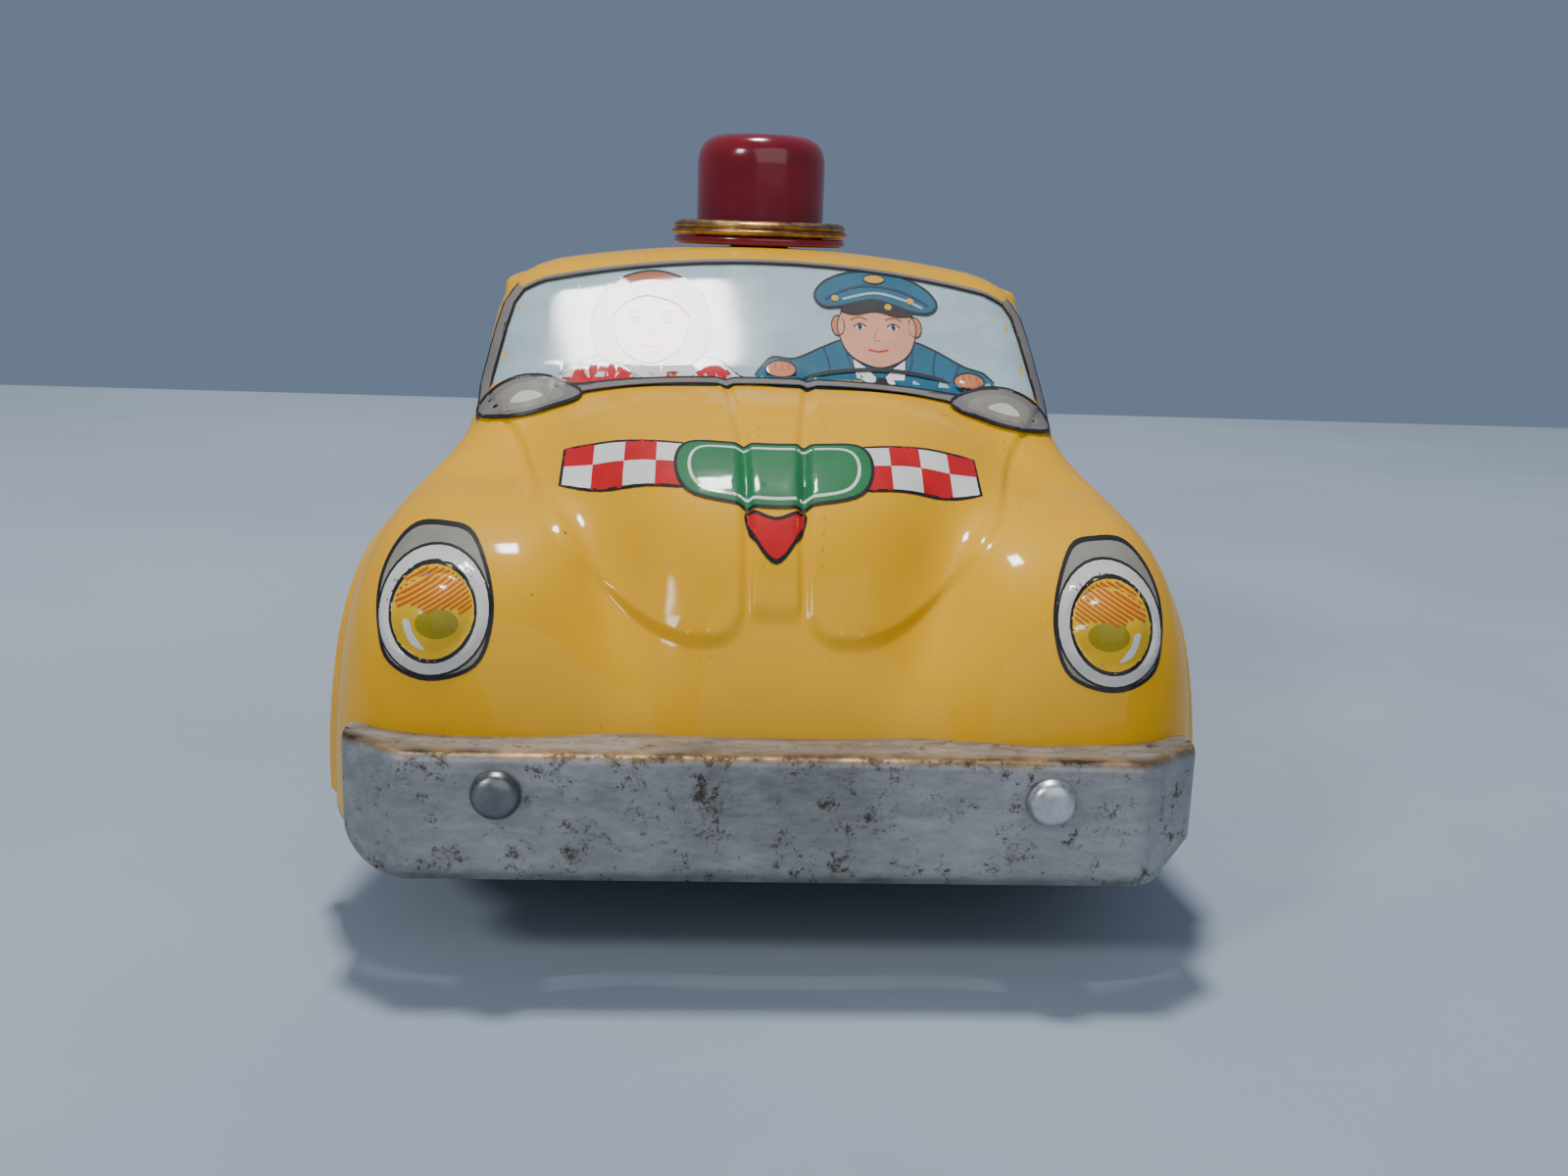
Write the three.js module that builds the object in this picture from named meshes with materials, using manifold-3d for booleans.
// A friction-driven tin car: a pressed tin saloon body on a flat base plate, with steel
// bumpers, a red roof beacon under a brass collar, four tyred wheels, and a friction
// motor that gears the rear axle up to two flywheels.
// Millimetres, +Z up, nose towards -Y. The origin is on the ground under the car's middle.
import * as THREE from "three";
import { mergeVertices } from "three/addons/utils/BufferGeometryUtils.js";
import Module from "manifold-3d";

// ---- Driving dimensions -------------------------------------------------------------

const LENGTH = 152; // over both bumpers
const SHEET = 0.5; // body and base sheet
const GAP = 0.3; // between pieces that lie against each other
const RUNNING_GAP = 0.1; // round a shaft, in its bore

// Wheels and axles
const WHEEL_R = 12;
const TYRE_WIDTH = 6.6;
const TYRE_BORE_R = 7.8;
const TRACK = 51; // between the tyres' middles
const AXLE_R = 1;
const FRONT_OVERHANG = 29.5; // front bumper to front axle
const REAR_OVERHANG = 33;
const ARCH_GAP = 2.3; // round a tyre, in its wheel arch
const AXLE_END = 0.8; // axle beyond the tyres

// Body outside
const SILL_Z = 8.5; // the body's lower edge
const BUMPER_REACH = 4.4; // bumper face ahead of the body
const ROOF_Z = 50.3;
const ROOF_Y = -14.4; // where the roof is highest
const ROOF_ARC = 75; // how slowly it falls ahead of there
const ROOF_CROWN_R = 120; // its curve from side to side
const BACK_RUN = 69; // from ROOF_Y to the foot of the back window's curve
const SCREEN_FOOT = { y: -39.6, z: 38 };
const SCREEN_HEAD_Y = -23.9; // where its plane reaches the roof's height
const COWL_Y = -47; // the cabin's front, under the bonnet
const SCREEN_ROUND = 2.5; // along the windscreen's edges
const CABIN_HALF_W = 28.2; // at the sill, before its sides lean in
const CABIN_LEAN = 0.085; // inwards for each millimetre of height
const CABIN_ROUND = 5; // along the roof's sides
const BONNET_Z = 38.6;
const BONNET_HALF_W = 27;
const BONNET_NARROWING = 0.56; // of that width, at the nose
const BONNET_START_Y = -30;
const BONNET_SETBACK = 2.2; // its nose behind the apron's
const TAIL_Z = 34;
const TAIL_HALF_W = 25;
const TAIL_NARROWING = 0.4;
const TAIL_START_Y = 25;
const WING_COVER = 5.2; // outer side of the wings beyond the tyres
const WING_HALF_W = 12.4;
const FRONT_WING_RISE = 5.8; // wing top above its wheel arch
const REAR_WING_RISE = 4.7;
const WING_TAIL = 22; // from an axle towards the running board
const APRON_Z = 26; // below the bonnet's nose and the tail
const APRON_SETBACK = 3; // of the aprons' and running boards' sides from the wings'
const STEP_H = 3;
const BLEND = 4.4; // the hollow between bonnet and wings

// Base plate
const PLATE_Z = 9; // its underside
const PLATE_T = 0.6;
const WELL_ROOM = 1.6; // beside a tyre, in the plate's cut-out
const TAB_Y = 12; // bent tabs on the body's sides, ahead of and behind the middle
const TAB_W = 5;
const TAB_REACH = 3.4;

// Bumpers
const BUMPER_Z = 8;
const BUMPER_H = 9;
const BUMPER_T = 0.6;
const BUMPER_FLAT_HALF = 25.8;
const BUMPER_HALF = 30.3;
const BUMPER_CORNER = 3.8; // how far the end facets run back
const BUMPER_RETURN = 3; // side return behind the facets
const TONGUE_X = 19.1; // the base plate's tongues, riveted to the bumpers
const TONGUE_W = 6;
const TONGUE_RUN = 9; // behind the body's end
const RIVET_R = 0.9;
const RIVET_HEAD_R = 1.75;
const RIVET_HEAD_H = 1.2;
const RIVET_TAIL_R = 1.4; // clenched end
const RIVET_TAIL_T = 0.4;
const RIVET_RISE = 6.2; // above the bumper's lower edge

// Beacon
const BEACON_Y = -9;
const BEACON_R = 6.6;
const BEACON_H = 11.2; // dome above the roof
const BEACON_WALL = 1;
const BEACON_ROUND = 2.6; // radius of the dome's shoulder
const FLANGE_REACH = 2.3; // beyond the dome
const FLANGE_T = 0.8;
const COLLAR_REACH = 0.25; // beyond the flange
const COLLAR_T = 1.5;
const STEM_R = 3;
const STEM_H = 3; // below the flange
const NUT_W = 2.2;
const NUT_T = 0.5;

// Friction motor
const MODULE = 0.5;
const PRESSURE = THREE.MathUtils.degToRad(25);
const BACKLASH = 0.08; // taken off each tooth's thickness
const AXLE_TEETH = 26;
const PINION_TEETH = 10;
const IDLER_TEETH = 28;
const GEAR_T = 1.2;
const PINION_T = 2;
const SHAFT_R = 0.8;
const IDLER_ANGLE = THREE.MathUtils.degToRad(150); // from the rear axle, seen from +X
const FLY_ANGLE = THREE.MathUtils.degToRad(145); // from the idler
const FLYWHEEL_ROOM = 1.85; // under the flywheels, above the base plate
const FLYWHEEL_T = 5.5;
const FLYWHEEL_EDGE = 0.6;
const CHEEK_X = 5; // inner face of the motor's side plates
const CHEEK_T = 0.8;
const CHEEK_AHEAD = 6; // of the flywheels' shaft
const CHEEK_BEHIND = 3.7; // the axle gear
const CHEEK_RIM = 4; // metal round a bearing
const FOOT_W = 3.6;
const SLOT_ROOM = 1; // round the gears, in the base plate
const SPACER_R = 1.1;
const SPACER_END_R = 0.66;
const SHAFT_END = 0.4; // shafts and spacers beyond the side plates
const LAY_GAP = 0.1; // between a riveted foot and what it lies on

// Front axle bracket
const BRACKET_INSET = 2.2; // its sides from the wheel cut-outs
const BRACKET_RUN = 5; // half its length along the car
const EAR_H = 3.2; // above the axle
const EAR_HALF_W = 2.6; // at its top

// ---- Places worked out from the dimensions -------------------------------------------

const NOSE_Y = -LENGTH / 2 + BUMPER_REACH;
const TAIL_Y = LENGTH / 2 - BUMPER_REACH;
const FRONT_AXLE_Y = -LENGTH / 2 + FRONT_OVERHANG;
const REAR_AXLE_Y = LENGTH / 2 - REAR_OVERHANG;
const PLATE_TOP = PLATE_Z + PLATE_T;
const FOOT_Z = PLATE_TOP + LAY_GAP;
const RIVET_Z = BUMPER_Z + RIVET_RISE;
const ARCH_R = WHEEL_R + ARCH_GAP;
const TYRE_IN_X = TRACK / 2 - TYRE_WIDTH / 2;
const TYRE_OUT_X = TRACK / 2 + TYRE_WIDTH / 2;
const WELL_IN_X = TYRE_IN_X - WELL_ROOM;
const BRACKET_HALF_W = WELL_IN_X - BRACKET_INSET;
const WING_OUT_X = TYRE_OUT_X + WING_COVER;
const APRON_HALF_W = WING_OUT_X - APRON_SETBACK;
const FRONT_WING_Z = WHEEL_R + ARCH_R + FRONT_WING_RISE;
const REAR_WING_Z = WHEEL_R + ARCH_R + REAR_WING_RISE;
const SCREEN_SLOPE = Math.atan2(ROOF_Z - SCREEN_FOOT.z, SCREEN_HEAD_Y - SCREEN_FOOT.y);
const SEAT_Z = ROOF_Z + 0.15; // underside of the beacon's flange
const FLANGE_R = BEACON_R + FLANGE_REACH;
const COLLAR_R = FLANGE_R + COLLAR_REACH;
const meshDistance = (a, b) => (MODULE * (a + b)) / 2;
const gearTipR = (teeth) => (MODULE * teeth) / 2 + 0.8 * MODULE;
const along = (from, angle, distance) => ({
  y: from.y + distance * Math.cos(angle),
  z: from.z + distance * Math.sin(angle),
});
const REAR_AXLE = { y: REAR_AXLE_Y, z: WHEEL_R };
const IDLER = along(REAR_AXLE, IDLER_ANGLE, meshDistance(AXLE_TEETH, PINION_TEETH));
const FLY = along(IDLER, FLY_ANGLE, meshDistance(IDLER_TEETH, PINION_TEETH));
const FLYWHEEL_R = FLY.z - PLATE_TOP - FLYWHEEL_ROOM;
const FOOT_Y0 = FLY.y - CHEEK_AHEAD;
const FOOT_Y1 = REAR_AXLE.y + gearTipR(AXLE_TEETH) + CHEEK_BEHIND;
const MESH_AXLE_X = -2.4; // plane of the axle gear and the idler's pinion
const MESH_IDLER_X = 1.6; // plane of the idler gear and the flywheel's pinion

// ---- Solids --------------------------------------------------------------------------

const wasm = await Module();
wasm.setup();

// A closed three.js geometry as a manifold-3d solid.
function solid(geometry) {
  const bare = geometry.index ? geometry.toNonIndexed() : geometry.clone();
  bare.deleteAttribute("normal");
  bare.deleteAttribute("uv");
  const merged = mergeVertices(bare, 1e-4);
  return new wasm.Manifold(
    new wasm.Mesh({
      numProp: 3,
      vertProperties: merged.attributes.position.array,
      triVerts: new Uint32Array(merged.index.array),
    }),
  );
}

// A manifold-3d solid as a three.js geometry.
function geometryOf(made) {
  const mesh = made.getMesh();
  const geometry = new THREE.BufferGeometry();
  const positions = new THREE.BufferAttribute(mesh.vertProperties, mesh.numProp);
  geometry.setAttribute("position", positions);
  geometry.setIndex(new THREE.BufferAttribute(mesh.triVerts, 1));
  geometry.computeVertexNormals();
  return geometry;
}

// A box between two opposite corners.
function block([x0, y0, z0], [x1, y1, z1]) {
  const box = new THREE.BoxGeometry(x1 - x0, y1 - y0, z1 - z0);
  return solid(box.translate((x0 + x1) / 2, (y0 + y1) / 2, (z0 + z1) / 2));
}

// Turns what is made round or along Z so that it lies round or along X, with the
// shape's x as the car's y and its y as the car's z.
const ONTO_X = new THREE.Matrix4().makeBasis(
  new THREE.Vector3(0, 1, 0),
  new THREE.Vector3(0, 0, 1),
  new THREE.Vector3(1, 0, 0),
);
// Turns a lathe's own axis, Y, onto Z.
const Y_ONTO_Z = new THREE.Matrix4().makeRotationX(Math.PI / 2);

function extruded(shape, depth) {
  return new THREE.ExtrudeGeometry(shape, { depth, bevelEnabled: false, curveSegments: 6 });
}

// A flat shape, given in the car's (y, z), from x0 to x1.
function plateX(shape, x0, x1) {
  return solid(extruded(shape, x1 - x0).applyMatrix4(ONTO_X).translate(x0, 0, 0));
}

// A flat shape, given in the car's (x, y), from z0 to z1.
function plateZ(shape, z0, z1) {
  return solid(extruded(shape, z1 - z0).translate(0, 0, z0));
}

// A body turned round an axis along X at (y, z); its profile holds [radius, x] pairs.
function turnedX(profile, { y, z }, segments) {
  const points = profile.map(([r, h]) => new THREE.Vector2(r, h));
  const lathe = new THREE.LatheGeometry(points, segments).applyMatrix4(Y_ONTO_Z);
  return solid(lathe.applyMatrix4(ONTO_X).translate(0, y, z));
}

// A body turned round an axis along Z at (x, y); its profile holds [radius, z] pairs.
function turnedZ(profile, x, y, segments) {
  const points = profile.map(([r, h]) => new THREE.Vector2(r, h));
  const lathe = new THREE.LatheGeometry(points, segments).applyMatrix4(Y_ONTO_Z);
  return solid(lathe.translate(x, y, 0));
}

function rodX(r, x0, x1, place, segments = 16) {
  return turnedX([[0, x0], [r, x0], [r, x1], [0, x1]], place, segments);
}

function ringProfile(inner, outer, low, high) {
  return [[inner, low], [outer, low], [outer, high], [inner, high], [inner, low]];
}

function polygon(points) {
  return new THREE.Shape(points.map(([x, y]) => new THREE.Vector2(x, y)));
}

function mirrorX(made) {
  const geometry = geometryOf(made).toNonIndexed();
  const position = geometry.getAttribute("position");
  const flipped = new Float32Array(position.array.length);
  for (let corner = 0; corner < position.count; corner += 3) {
    [0, 2, 1].forEach((from, to) => {
      flipped[3 * (corner + to)] = -position.getX(corner + from);
      flipped[3 * (corner + to) + 1] = position.getY(corner + from);
      flipped[3 * (corner + to) + 2] = position.getZ(corner + from);
    });
  }
  const mirrored = new THREE.BufferGeometry();
  mirrored.setAttribute("position", new THREE.BufferAttribute(flipped, 3));
  return solid(mirrored);
}

// ---- The body's outer form -----------------------------------------------------------

const power = (value, exponent) => Math.pow(Math.abs(value), exponent);

// Smooth union of two distances: they melt into each other over the width k.
function melt(a, b, k) {
  const h = Math.max(k - Math.abs(a - b), 0) / k;
  return Math.min(a, b) - (h * h * k) / 4;
}

// Smooth intersection, with its edge rounded over the width k.
const meet = (a, b, k) => -melt(-a, -b, k);

// How far outside a rounded block a point lies, in millimetres, measured towards the
// block's middle on the sill. Its shares of the block's half sizes are given: across,
// along and up. The higher the powers, the squarer the block in plan and in profile.
function blockDistance({ x, y, z, atX = 0, atY = 0, across, along, up, plan, profile }) {
  const level = power(power(across, plan) + power(along, plan), 1 / plan);
  const share = power(power(level, profile) + power(up, profile), 1 / profile);
  const reach = Math.hypot(x - atX, y - atY, z - SILL_Z);
  return reach * (1 - 1 / Math.max(share, 1e-3));
}

const upShare = (z, top) => (z - SILL_Z) / (top - SILL_Z);

function roofDistance(x, y, z) {
  return blockDistance({
    x,
    y,
    z,
    atY: ROOF_Y,
    across: 0,
    along: (y - ROOF_Y) / (y < ROOF_Y ? ROOF_ARC : BACK_RUN),
    up: upShare(z + (x * x) / (2 * ROOF_CROWN_R), ROOF_Z),
    plan: 2,
    profile: 2.3,
  });
}

function cabinDistance(x, y, z) {
  const ahead = (SCREEN_FOOT.y - y) * Math.sin(SCREEN_SLOPE);
  const screen = ahead + (z - SCREEN_FOOT.z) * Math.cos(SCREEN_SLOPE);
  const side = Math.abs(x) - CABIN_HALF_W + CABIN_LEAN * (z - SILL_Z);
  const shell = meet(roofDistance(x, y, z), screen, SCREEN_ROUND);
  return Math.max(meet(shell, side, CABIN_ROUND), COWL_Y - y);
}

// The bonnet and the tail narrow to rounded ends, like tongues.
function tongueDistance(x, y, z, { halfW, narrowing, top, startY, endY }) {
  const along = Math.abs((y - startY) / (endY - startY));
  const width = halfW * (1 - narrowing * power(Math.min(along, 1), 1.6));
  const lengthways = power(power(along, 3) + power(upShare(z, top), 3), 1 / 3);
  return blockDistance({
    x,
    y,
    z,
    atY: startY,
    across: x / width,
    along: lengthways,
    up: 0,
    plan: 4,
    profile: 4,
  });
}

// Lengthways share of a wing or an apron, which reach from an axle to the car's end.
function endShare(y, axleY, endY) {
  const outwards = (y - axleY) * Math.sign(endY) > 0;
  return (y - axleY) / (outwards ? endY - axleY : WING_TAIL);
}

function wingDistance(x, y, z, axleY, endY, top) {
  const atX = Math.sign(x) * (WING_OUT_X - WING_HALF_W);
  return blockDistance({
    x,
    y,
    z,
    atX,
    atY: axleY,
    across: (x - atX) / WING_HALF_W,
    along: endShare(y, axleY, endY),
    up: upShare(z, top),
    plan: 3,
    profile: 3,
  });
}

function apronDistance(x, y, z, axleY, endY) {
  return blockDistance({
    x,
    y,
    z,
    atY: axleY,
    across: x / APRON_HALF_W,
    along: endShare(y, axleY, endY),
    up: upShare(z, APRON_Z),
    plan: 5,
    profile: 3,
  });
}

const BONNET = {
  halfW: BONNET_HALF_W,
  narrowing: BONNET_NARROWING,
  top: BONNET_Z,
  startY: BONNET_START_Y,
  endY: NOSE_Y + BONNET_SETBACK,
};
const TAIL = {
  halfW: TAIL_HALF_W,
  narrowing: TAIL_NARROWING,
  top: TAIL_Z,
  startY: TAIL_START_Y,
  endY: TAIL_Y,
};

const CABIN_BLEND = 1.6; // where the cabin rises from bonnet and tail
const STEP_BLEND = 1.5; // where the running boards leave the body

function bodyDistance(x, y, z) {
  const bonnet = tongueDistance(x, y, z, BONNET);
  const tail = tongueDistance(x, y, z, TAIL);
  const trunk = melt(Math.min(bonnet, tail), cabinDistance(x, y, z), CABIN_BLEND);
  const endOf = (axleY, endY, top) =>
    melt(wingDistance(x, y, z, axleY, endY, top), apronDistance(x, y, z, axleY, endY), BLEND);
  const frontEnd = endOf(FRONT_AXLE_Y, NOSE_Y, FRONT_WING_Z);
  const rearEnd = endOf(REAR_AXLE_Y, TAIL_Y, REAR_WING_Z);
  const winged = melt(trunk, Math.min(frontEnd, rearEnd), BLEND);
  return melt(winged, stepDistance(x, y, z), STEP_BLEND);
}

function stepDistance(x, y, z) {
  const past = Math.max(FRONT_AXLE_Y - y, y - REAR_AXLE_Y);
  return Math.max(Math.abs(x) - APRON_HALF_W, past, z - SILL_Z - STEP_H);
}

// Where a ray from a point inside the body leaves its surface.
function surfacePoint(from, direction) {
  let inside = 0;
  let outside = 2 * LENGTH;
  const at = (t) => from.clone().addScaledVector(direction, t);
  for (let halving = 0; halving < 40; halving += 1) {
    const middle = (inside + outside) / 2;
    const p = at(middle);
    if (bodyDistance(p.x, p.y, p.z) < 0) inside = middle;
    else outside = middle;
  }
  return at(inside);
}

function surfaceNormal({ x, y, z }) {
  const h = 0.05;
  return new THREE.Vector3(
    bodyDistance(x + h, y, z) - bodyDistance(x - h, y, z),
    bodyDistance(x, y + h, z) - bodyDistance(x, y - h, z),
    bodyDistance(x, y, z + h) - bodyDistance(x, y, z - h),
  ).normalize();
}

// Rays leave a line along the car's middle, and fan out at its ends. The line lies at
// sill height for the lower edge and sinks with height, so that rays rise out of hollows.
const SPINE_HALF = 0.3 * LENGTH;
const SPINE_SINK = 14;
const RAY_RISE = 1.24;
const BODY_MESH = [18, 38, 7]; // squares across, along and up
function rayPoint(across, lengthways, height) {
  const from = new THREE.Vector3(0, lengthways * SPINE_HALF, SILL_Z - SPINE_SINK * height);
  const fan = lengthways * lengthways * lengthways;
  return surfacePoint(from, new THREE.Vector3(across, fan, RAY_RISE * height).normalize());
}

// The body as a closed solid, set in by a distance and carried down by another: a box
// with a mesh of squares on it, with each point pushed out along its ray.
function bodySolid(inset, drop) {
  const box = new THREE.BoxGeometry(2, 2, 2, ...BODY_MESH);
  const position = box.getAttribute("position");
  const point = new THREE.Vector3();
  for (let i = 0; i < position.count; i += 1) {
    point.fromBufferAttribute(position, i);
    const share = Math.max(Math.abs(point.x), Math.abs(point.y));
    const onFloor = point.z < -0.999;
    const scale = onFloor && share > 0 ? 1 / share : 1;
    const made = rayPoint(point.x * scale, point.y * scale, onFloor ? 0 : (point.z + 1) / 2);
    const normal = surfaceNormal(made);
    if (onFloor) normal.setZ(0).normalize();
    made.addScaledVector(normal, -inset);
    if (onFloor) {
      made.x *= share;
      made.y *= share;
      made.z = SILL_Z - drop;
    }
    position.setXYZ(i, made.x, made.y, made.z);
  }
  return solid(box);
}

// Half the body's width at its lower edge, at a place along the car.
function rimHalfWidth(y) {
  let inside = 0;
  let outside = 2 * WING_OUT_X;
  for (let halving = 0; halving < 40; halving += 1) {
    const middle = (inside + outside) / 2;
    if (bodyDistance(middle, y, SILL_Z) < 0) inside = middle;
    else outside = middle;
  }
  return inside;
}

// ---- Pieces --------------------------------------------------------------------------

const BUMPER_ENDS = [-1, 1]; // front, rear
const SIDES = [-1, 1];
const TONGUE_ROOT = LENGTH / 2 - BUMPER_REACH - TONGUE_RUN;
const sorted = (a, b) => [Math.min(a, b), Math.max(a, b)];

function bodyShell() {
  let shell = bodySolid(0, 0).subtract(bodySolid(SHEET, 1));
  for (const y of [FRONT_AXLE_Y, REAR_AXLE_Y]) {
    shell = shell.subtract(rodX(ARCH_R, -2 * WING_OUT_X, 2 * WING_OUT_X, { y, z: WHEEL_R }, 40));
  }
  for (const end of BUMPER_ENDS) {
    for (const side of SIDES) {
      const half = TONGUE_W / 2 + GAP;
      const x = side * TONGUE_X;
      const [y0, y1] = sorted(end * TONGUE_ROOT, (end * LENGTH) / 2);
      shell = shell.subtract(block([x - half, y0, 0], [x + half, y1, PLATE_TOP + GAP]));
    }
  }
  const hole = STEM_R + GAP;
  const under = ROOF_Z - 2 * STEM_H;
  shell = shell.subtract(
    turnedZ([[0, under], [hole, under], [hole, 2 * ROOF_Z], [0, 2 * ROOF_Z]], 0, BEACON_Y, 24),
  );
  for (const y of [-TAB_Y, TAB_Y]) {
    for (const side of SIDES) shell = shell.add(bentTab(side, y));
  }
  return shell;
}

// A tab on the body's lower edge, bent under the base plate.
function bentTab(side, y) {
  const out = side * (rimHalfWidth(y) - SHEET / 2);
  const [x0, x1] = sorted(out, out - side * TAB_REACH);
  const top = PLATE_Z - GAP;
  return block([x0, y - TAB_W / 2, top - SHEET], [x1, y + TAB_W / 2, top]);
}

function basePlate() {
  const slab = block(
    [-2 * WING_OUT_X, -LENGTH, PLATE_Z],
    [2 * WING_OUT_X, LENGTH, PLATE_TOP],
  );
  let plate = slab.intersect(bodySolid(SHEET + GAP, 1));
  for (const y of [FRONT_AXLE_Y, REAR_AXLE_Y]) {
    for (const side of SIDES) {
      const [x0, x1] = sorted(side * WELL_IN_X, side * 2 * WING_OUT_X);
      plate = plate.subtract(block([x0, y - ARCH_R, 0], [x1, y + ARCH_R, ROOF_Z]));
    }
  }
  plate = plate.subtract(motorSlot());
  for (const end of BUMPER_ENDS) {
    for (const side of SIDES) plate = plate.add(tongue(end, side * TONGUE_X));
  }
  for (const side of SIDES) plate = plate.subtract(rivetHole(side * TONGUE_X));
  for (const [x, y] of [...motorRivetPlaces(), ...bracketRivetPlaces()]) {
    plate = plate.subtract(uprightHole(x, y));
  }
  return plate;
}

// The opening in the base plate that the gears dip through.
function motorSlot() {
  const front = IDLER.y - gearTipR(IDLER_TEETH) - SLOT_ROOM;
  const rear = REAR_AXLE.y + gearTipR(AXLE_TEETH) + SLOT_ROOM;
  const half = CHEEK_X - SHAFT_END;
  return block([-half, front, 0], [half, rear, ROOF_Z]);
}

// A flat tongue of the base plate, turned up behind a bumper's face.
function tongue(end, x) {
  const face = LENGTH / 2 - BUMPER_T - GAP;
  const legTop = BUMPER_Z + BUMPER_H - BUMPER_T - GAP;
  const [y0, y1] = sorted(end * TONGUE_ROOT, end * face);
  const [leg0, leg1] = sorted(end * (face - PLATE_T), end * face);
  const flat = block([x - TONGUE_W / 2, y0, PLATE_Z], [x + TONGUE_W / 2, y1, PLATE_TOP]);
  return flat.add(block([x - TONGUE_W / 2, leg0, PLATE_Z], [x + TONGUE_W / 2, leg1, legTop]));
}

const RIVET_HOLE_R = RIVET_R + RUNNING_GAP;

// A hole right through both bumpers' faces and tongues.
function rivetHole(x) {
  const tube = new THREE.CylinderGeometry(RIVET_HOLE_R, RIVET_HOLE_R, 2 * LENGTH, 16);
  return solid(tube.translate(x, 0, RIVET_Z));
}

function uprightHole(x, y) {
  return turnedZ([[0, 0], [RIVET_HOLE_R, 0], [RIVET_HOLE_R, ROOF_Z / 2], [0, ROOF_Z / 2]], x, y, 16);
}

// The front bumper's outer bends seen from above, from its left return to its right one,
// or the same line set in by some depth.
function bumperLine(depth) {
  const face = -LENGTH / 2;
  const corner = face + BUMPER_CORNER;
  const left = [
    [-BUMPER_HALF + depth, corner + BUMPER_RETURN],
    [-BUMPER_HALF + depth, corner + 0.5 * depth],
    [-BUMPER_FLAT_HALF + 0.4 * depth, face + depth],
  ];
  return [...left, ...left.map(([x, y]) => [-x, y]).reverse()];
}

// A band of sheet with a shelf on top, cut back to just short of the body.
function bumper(end) {
  const top = BUMPER_Z + BUMPER_H;
  const bandShape = polygon([...bumperLine(0), ...bumperLine(BUMPER_T).reverse()]);
  const band = plateZ(bandShape, BUMPER_Z, top);
  const shelf = plateZ(polygon(bumperLine(0)), top - BUMPER_T, top);
  const made = band.add(shelf).rotate([0, 0, end < 0 ? 0 : 180]);
  const holed = made.subtract(rivetHole(TONGUE_X)).subtract(rivetHole(-TONGUE_X));
  return holed.subtract(bodySolid(-GAP, GAP));
}

function bumperRivet(x, end) {
  const face = LENGTH / 2;
  const clench = BUMPER_T + PLATE_T + 2 * GAP; // from the face to the clenched end
  const profile = [
    [0, -clench - RIVET_TAIL_T],
    [RIVET_TAIL_R, -clench - RIVET_TAIL_T],
    [RIVET_TAIL_R, -clench],
    [RIVET_R, -clench],
    [RIVET_R, LAY_GAP],
    [RIVET_HEAD_R, LAY_GAP],
    [RIVET_HEAD_R * 0.94, RIVET_HEAD_H * 0.5],
    [RIVET_HEAD_R * 0.6, RIVET_HEAD_H * 0.875],
    [0, RIVET_HEAD_H],
  ];
  const points = profile.map(([r, h]) => new THREE.Vector2(r, h));
  const lathe = new THREE.LatheGeometry(points, 12);
  if (end < 0) lathe.rotateZ(Math.PI);
  return solid(lathe.translate(x, end * face, RIVET_Z));
}

// A hollow dome on a flange, with a hollow stem through the roof.
function beaconDome() {
  const top = SEAT_Z + BEACON_H;
  const wall = BEACON_WALL;
  const round = BEACON_ROUND;
  const foot = SEAT_Z - STEM_H;
  const floor = SEAT_Z + FLANGE_T + wall;
  const shoulder = [0, 1, 2, 3].map((step) => {
    const angle = (step * Math.PI) / 6;
    const r = BEACON_R - round * (1 - Math.cos(angle));
    return [r, top - round - 0.5 + round * Math.sin(angle)];
  });
  const profile = [
    [STEM_R - wall, foot],
    [STEM_R, foot],
    [STEM_R, SEAT_Z],
    [FLANGE_R, SEAT_Z],
    [FLANGE_R, SEAT_Z + FLANGE_T],
    [BEACON_R, SEAT_Z + FLANGE_T],
    ...shoulder,
    [0, top],
    [0, top - wall],
    [BEACON_R - wall - 1, top - wall - 0.8],
    [BEACON_R - wall, top - round - 1],
    [BEACON_R - wall, floor],
    [STEM_R - wall, floor],
    [STEM_R - wall, foot],
  ];
  return turnedZ(profile, 0, BEACON_Y, 32);
}

function beaconCollar() {
  const low = SEAT_Z + FLANGE_T + LAY_GAP;
  const high = low + COLLAR_T;
  const inner = BEACON_R + RUNNING_GAP;
  const profile = [
    [inner, low],
    [COLLAR_R, low],
    [COLLAR_R, high - 0.4],
    [COLLAR_R - 0.5, high],
    [inner, high],
    [inner, low],
  ];
  return turnedZ(profile, 0, BEACON_Y, 32);
}

// The sprung nut that grips the beacon's stem under the roof.
function beaconNut() {
  const high = ROOF_Z - SHEET - 2 * GAP;
  const bore = STEM_R + RUNNING_GAP;
  return turnedZ(ringProfile(bore, STEM_R + NUT_W, high - NUT_T, high), 0, BEACON_Y, 20);
}

// ---- Wheels and axles ------------------------------------------------------------------

const TYRE_SHOULDER = 1.3;
const BEAD = 0.8; // bevel round a tyre's bore

function tyre(side, axle) {
  const half = TYRE_WIDTH / 2;
  const profile = [
    [TYRE_BORE_R, -half + BEAD],
    [TYRE_BORE_R + BEAD, -half],
    [WHEEL_R - TYRE_SHOULDER, -half],
    [WHEEL_R, -half + TYRE_SHOULDER],
    [WHEEL_R, half - TYRE_SHOULDER],
    [WHEEL_R - TYRE_SHOULDER, half],
    [TYRE_BORE_R + BEAD, half],
    [TYRE_BORE_R, half - BEAD],
    [TYRE_BORE_R, -half + BEAD],
  ];
  return turnedX(profile.map(([r, x]) => [r, x + (side * TRACK) / 2]), axle, 28);
}

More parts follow.
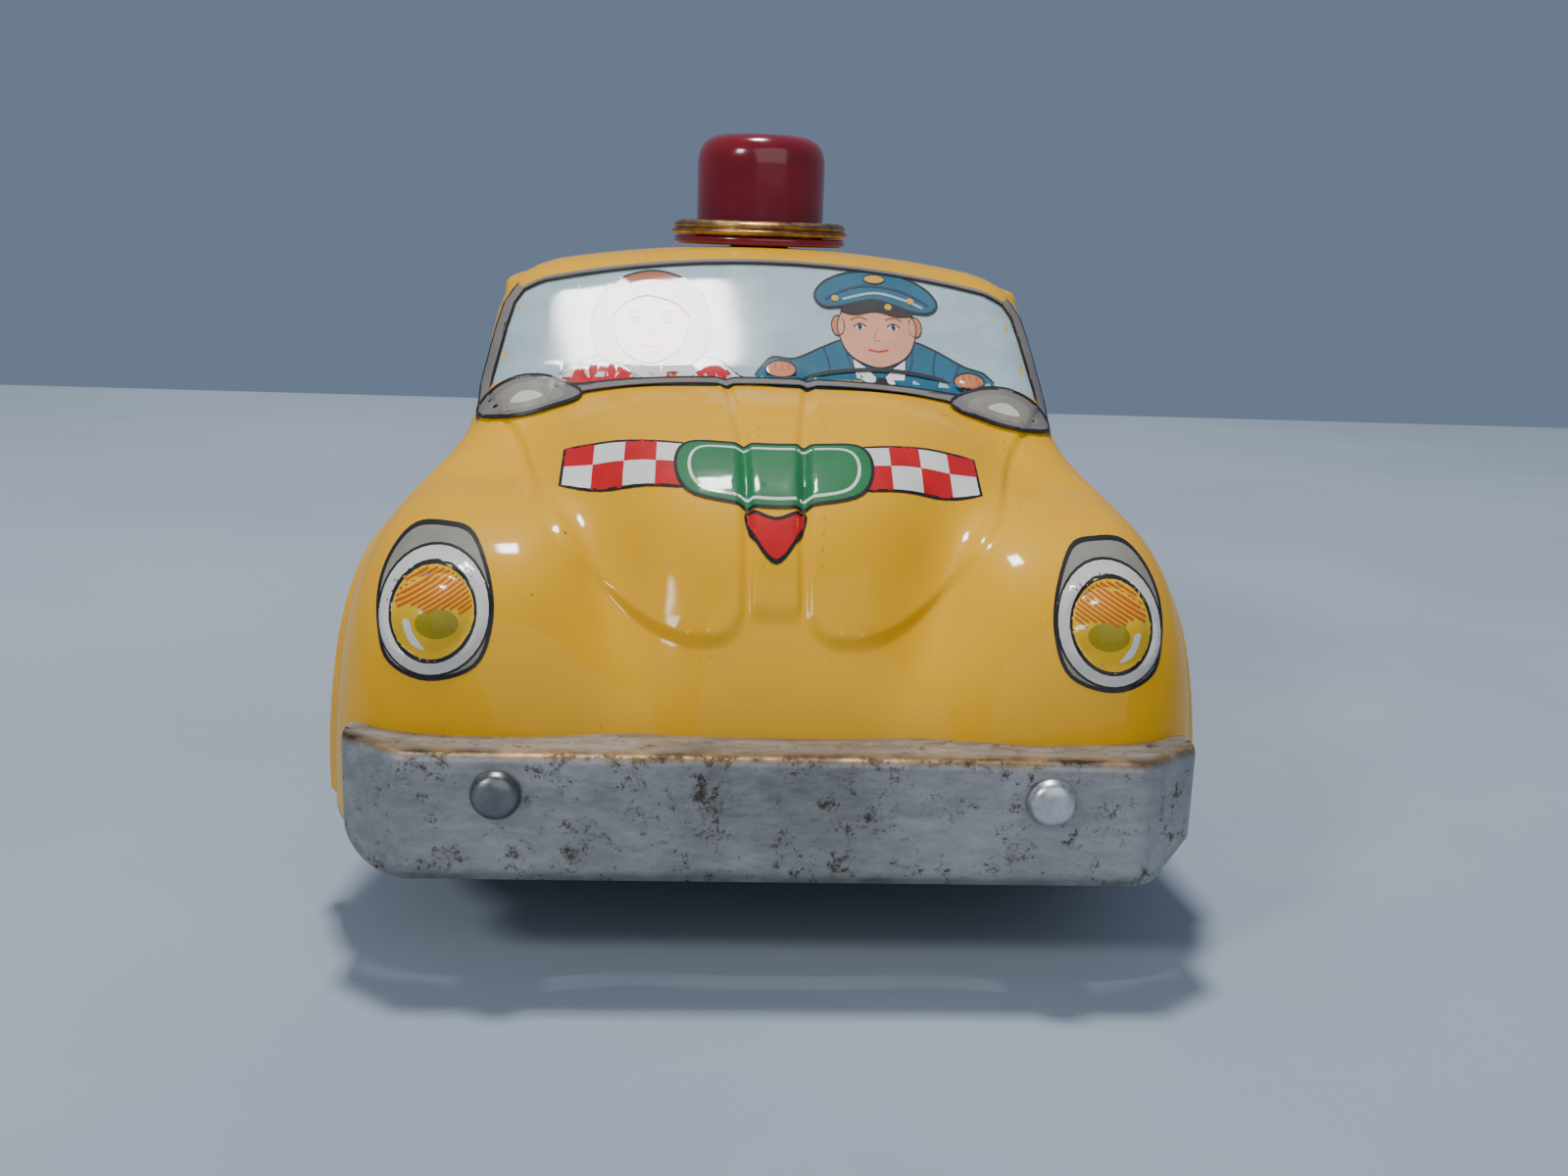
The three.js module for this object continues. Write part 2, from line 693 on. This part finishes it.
// A pressed wheel disc: a rolled rim, a hollow inside it and a domed cap on the outer
// side. It is drawn outwards along +X from its inner face.
function hub(side, axle) {
  const bore = AXLE_R + RUNNING_GAP;
  const rim = TYRE_BORE_R - 0.15;
  const half = TYRE_WIDTH / 2 - 0.5;
  const web = -half + 1.4; // inner face, set in behind the rim
  const outwards = [
    [bore, web],
    [rim - 1.2, web],
    [rim, -half],
    [rim, half],
    [rim - 1, half + 0.3],
    [rim - 2, half - 0.9],
    [rim - 3.4, half - 0.7],
    [rim - 4.4, half + 0.5],
    [bore, half + 0.9],
    [bore, web],
  ];
  const profile = side > 0 ? outwards : outwards.map(([r, x]) => [r, -x]).reverse();
  return turnedX(profile.map(([r, x]) => [r, x + (side * TRACK) / 2]), axle, 20);
}

function axleRod(axle) {
  return rodX(AXLE_R, -TYRE_OUT_X - AXLE_END, TYRE_OUT_X + AXLE_END, axle);
}

// ---- Friction motor --------------------------------------------------------------------

const involute = (angle) => Math.tan(angle) - angle;

// A gear's outline with one tooth's middle on the given angle.
function gearShape(teeth, turn, boreR) {
  const pitchR = (MODULE * teeth) / 2;
  const baseR = pitchR * Math.cos(PRESSURE);
  const rootR = pitchR - 1.1 * MODULE;
  const tipR = gearTipR(teeth);
  const thickness = (Math.PI * MODULE) / 2 - BACKLASH;
  const halfAngle = (r) => {
    const held = Math.max(r, baseR);
    return thickness / (2 * pitchR) + involute(PRESSURE) - involute(Math.acos(baseR / held));
  };
  const radii = [rootR, pitchR, tipR];
  const points = [];
  for (let tooth = 0; tooth < teeth; tooth += 1) {
    const middle = turn + (tooth * 2 * Math.PI) / teeth;
    const rising = radii.map((r) => [r, middle - halfAngle(r)]);
    const falling = radii.map((r) => [r, middle + halfAngle(r)]).reverse();
    for (const [r, angle] of [...rising, ...falling]) {
      points.push(new THREE.Vector2(r * Math.cos(angle), r * Math.sin(angle)));
    }
  }
  const shape = new THREE.Shape(points);
  const bore = new THREE.Path();
  bore.absarc(0, 0, boreR, 0, 2 * Math.PI, true);
  shape.holes.push(bore);
  return shape;
}

function gear(teeth, turn, shaftR, x, place, thickness = GEAR_T) {
  const shape = gearShape(teeth, turn, shaftR + RUNNING_GAP);
  return plateX(shape, x - thickness / 2, x + thickness / 2).translate([0, place.y, place.z]);
}

// In mesh, a tooth of the driving gear stands in a gap of the driven one.
const drivenTurn = (angle, teeth) => angle + Math.PI + Math.PI / teeth;

const FLYWHEEL_IN_X = CHEEK_X + CHEEK_T + 1;
const FLYWHEEL_OUT_X = FLYWHEEL_IN_X + FLYWHEEL_T;

function flywheel(side) {
  const [x0, x1] = sorted(side * FLYWHEEL_IN_X, side * FLYWHEEL_OUT_X);
  const bore = SHAFT_R + RUNNING_GAP;
  const profile = [
    [bore, x0],
    [FLYWHEEL_R - FLYWHEEL_EDGE, x0],
    [FLYWHEEL_R, x0 + FLYWHEEL_EDGE],
    [FLYWHEEL_R, x1 - FLYWHEEL_EDGE],
    [FLYWHEEL_R - FLYWHEEL_EDGE, x1],
    [bore, x1],
    [bore, x0],
  ];
  return turnedX(profile, FLY, 28);
}

const BORE_ROOM = RUNNING_GAP + 0.04; // a bore's flats stand in from its circle

// A side plate with bearings for both shafts and the rear axle. Its foot turns outwards,
// set in a little from the plate's ends and its inner face.
function cheek(side) {
  const setIn = 0.4;
  const outline = polygon([
    [FOOT_Y0, FOOT_Z + CHEEK_T / 2],
    [FOOT_Y1, FOOT_Z + CHEEK_T / 2],
    [FOOT_Y1, REAR_AXLE.z + CHEEK_RIM],
    [IDLER.y + CHEEK_RIM, IDLER.z + 2.25 * CHEEK_RIM],
    [FLY.y + 1.25 * CHEEK_RIM, FLY.z + 1.5 * CHEEK_RIM],
    [FLY.y - CHEEK_RIM, FLY.z + 1.25 * CHEEK_RIM],
    [FOOT_Y0, FLY.z - CHEEK_RIM / 2],
  ]);
  const bores = [
    [REAR_AXLE, AXLE_R],
    [IDLER, SHAFT_R],
    [FLY, SHAFT_R],
    ...SPACERS.map((place) => [place, SPACER_END_R]),
  ];
  for (const [place, r] of bores) {
    const bore = new THREE.Path();
    bore.absarc(place.y, place.z, r + BORE_ROOM, 0, 2 * Math.PI, true);
    outline.holes.push(bore);
  }
  const web = plateX(outline, CHEEK_X, CHEEK_X + CHEEK_T);
  const foot = block(
    [CHEEK_X + CHEEK_T / 8, FOOT_Y0 + setIn, FOOT_Z],
    [CHEEK_X + CHEEK_T + FOOT_W, FOOT_Y1 - setIn, FOOT_Z + CHEEK_T],
  );
  let made = web.add(foot);
  for (const [x, y] of motorRivetPlaces()) {
    if (x > 0) made = made.subtract(uprightHole(x, y));
  }
  return side > 0 ? made : mirrorX(made);
}

// Turned pillars that hold the side plates apart, stepped down at their ends.
const SPACERS = [
  { y: FOOT_Y0 + 2.6, z: PLATE_TOP + 3.2 },
  { y: FLY.y + 6.4, z: FLY.z + 4 },
  { y: FOOT_Y1 - 1.9, z: REAR_AXLE.z + 1.6 },
];

function spacer(place) {
  const body = CHEEK_X - RUNNING_GAP;
  const end = CHEEK_X + CHEEK_T + SHAFT_END;
  const profile = [
    [0, -end],
    [SPACER_END_R, -end],
    [SPACER_END_R, -body],
    [SPACER_R, -body],
    [SPACER_R, body],
    [SPACER_END_R, body],
    [SPACER_END_R, end],
    [0, end],
  ];
  return turnedX(profile, place, 12);
}

function motorRivetPlaces() {
  const x = CHEEK_X + CHEEK_T + FOOT_W / 2;
  const run = FOOT_Y1 - FOOT_Y0;
  const places = [];
  for (const side of [-1, 1]) {
    places.push([side * x, FOOT_Y0 + 0.1 * run], [side * x, FOOT_Y0 + 0.5 * run]);
  }
  return places;
}

function bracketRivetPlaces() {
  return [-0.5, 0.5].map((share) => [share * BRACKET_HALF_W, FRONT_AXLE_Y + BRACKET_RUN - 1.9]);
}

const FOOT_RIVET_HEAD_R = 1.6;
const FOOT_RIVET_HEAD_H = 0.6;

// A rivet that clamps a foot of the side plates' thickness onto the base plate.
function plateRivet([x, y]) {
  const headLow = FOOT_Z + CHEEK_T + LAY_GAP;
  const tailHigh = PLATE_Z - LAY_GAP;
  const profile = [
    [0, tailHigh - FOOT_RIVET_HEAD_H],
    [FOOT_RIVET_HEAD_R, tailHigh - FOOT_RIVET_HEAD_H],
    [FOOT_RIVET_HEAD_R, tailHigh],
    [RIVET_R, tailHigh],
    [RIVET_R, headLow],
    [FOOT_RIVET_HEAD_R, headLow],
    [FOOT_RIVET_HEAD_R * 0.7, headLow + FOOT_RIVET_HEAD_H * 0.8],
    [0, headLow + FOOT_RIVET_HEAD_H],
  ];
  return turnedZ(profile, x, y, 12);
}

// A channel of sheet across the base plate, whose turned-up ears carry the front axle.
function axleBracket() {
  const web = block(
    [-BRACKET_HALF_W, FRONT_AXLE_Y - BRACKET_RUN, FOOT_Z],
    [BRACKET_HALF_W, FRONT_AXLE_Y + BRACKET_RUN, FOOT_Z + CHEEK_T],
  );
  const ear = polygon([
    [FRONT_AXLE_Y - BRACKET_RUN, FOOT_Z],
    [FRONT_AXLE_Y + BRACKET_RUN, FOOT_Z],
    [FRONT_AXLE_Y + EAR_HALF_W, WHEEL_R + EAR_H],
    [FRONT_AXLE_Y - EAR_HALF_W, WHEEL_R + EAR_H],
  ]);
  const bore = new THREE.Path();
  bore.absarc(FRONT_AXLE_Y, WHEEL_R, AXLE_R + BORE_ROOM, 0, 2 * Math.PI, true);
  ear.holes.push(bore);
  const right = plateX(ear, BRACKET_HALF_W - CHEEK_T, BRACKET_HALF_W);
  const left = plateX(ear, -BRACKET_HALF_W, -BRACKET_HALF_W + CHEEK_T);
  let made = web.add(right).add(left);
  for (const [x, y] of bracketRivetPlaces()) made = made.subtract(uprightHole(x, y));
  return made;
}

// ---- The assembly ------------------------------------------------------------------------

const finish = (color, roughness, metalness) =>
  new THREE.MeshStandardMaterial({ color, roughness, metalness });
const yellowTin = finish(0xe3aa08, 0.3, 0.1);
const baseTin = finish(0x8f8f8a, 0.5, 0.7);
const bumperSteel = finish(0x8d8d8b, 0.55, 0.8);
const redPlastic = finish(0x6e1018, 0.25, 0);
const brass = finish(0xa8894a, 0.4, 0.9);
const rubber = finish(0x1c1c1c, 0.8, 0);
const discTin = finish(0xc9c9c6, 0.3, 0.9);
const bareSteel = finish(0x9a9a9c, 0.4, 0.9);
const castLead = finish(0x6d6f73, 0.6, 0.8);

const car = new THREE.Group();
function place(name, made, material) {
  const mesh = new THREE.Mesh(geometryOf(made), material);
  mesh.name = name;
  car.add(mesh);
}

const frontAxle = { y: FRONT_AXLE_Y, z: WHEEL_R };
const sides = [
  ["left", 1],
  ["right", -1],
];

place("body_shell", bodyShell(), yellowTin);
place("base_plate", basePlate(), baseTin);
place("front_bumper", bumper(-1), bumperSteel);
place("rear_bumper", bumper(1), bumperSteel);
for (const [sideName, side] of sides) {
  place(`front_bumper_rivet_${sideName}`, bumperRivet(side * TONGUE_X, -1), bareSteel);
  place(`rear_bumper_rivet_${sideName}`, bumperRivet(side * TONGUE_X, 1), bareSteel);
}
place("beacon_dome", beaconDome(), redPlastic);
place("beacon_collar", beaconCollar(), brass);
place("beacon_nut", beaconNut(), bareSteel);

for (const [axleName, axle] of [["front", frontAxle], ["rear", REAR_AXLE]]) {
  place(`${axleName}_axle`, axleRod(axle), bareSteel);
  for (const [sideName, side] of sides) {
    place(`${axleName}_tyre_${sideName}`, tyre(side, axle), rubber);
    place(`${axleName}_wheel_disc_${sideName}`, hub(side, axle), discTin);
  }
}
place("front_axle_bracket", axleBracket(), bareSteel);
bracketRivetPlaces().forEach((at, index) => {
  place(`bracket_rivet_${index + 1}`, plateRivet(at), bareSteel);
});

place("motor_side_left", cheek(1), bareSteel);
place("motor_side_right", cheek(-1), bareSteel);
SPACERS.forEach((at, index) => place(`motor_spacer_${index + 1}`, spacer(at), bareSteel));
motorRivetPlaces().forEach((at, index) => {
  place(`motor_rivet_${index + 1}`, plateRivet(at), bareSteel);
});
place("axle_gear", gear(AXLE_TEETH, IDLER_ANGLE, AXLE_R, MESH_AXLE_X, REAR_AXLE), brass);
place(
  "idler_pinion",
  gear(PINION_TEETH, drivenTurn(IDLER_ANGLE, PINION_TEETH), SHAFT_R, MESH_AXLE_X, IDLER, PINION_T),
  brass,
);
place("idler_gear", gear(IDLER_TEETH, FLY_ANGLE, SHAFT_R, MESH_IDLER_X, IDLER), brass);
const idlerEnd = CHEEK_X + CHEEK_T + SHAFT_END;
place("idler_shaft", rodX(SHAFT_R, -idlerEnd, idlerEnd, IDLER), bareSteel);
place(
  "flywheel_pinion",
  gear(PINION_TEETH, drivenTurn(FLY_ANGLE, PINION_TEETH), SHAFT_R, MESH_IDLER_X, FLY, PINION_T),
  brass,
);
const flyEnd = FLYWHEEL_OUT_X + SHAFT_END;
place("flywheel_shaft", rodX(SHAFT_R, -flyEnd, flyEnd, FLY), bareSteel);
for (const [sideName, side] of sides) place(`flywheel_${sideName}`, flywheel(side), castLead);

export default car;
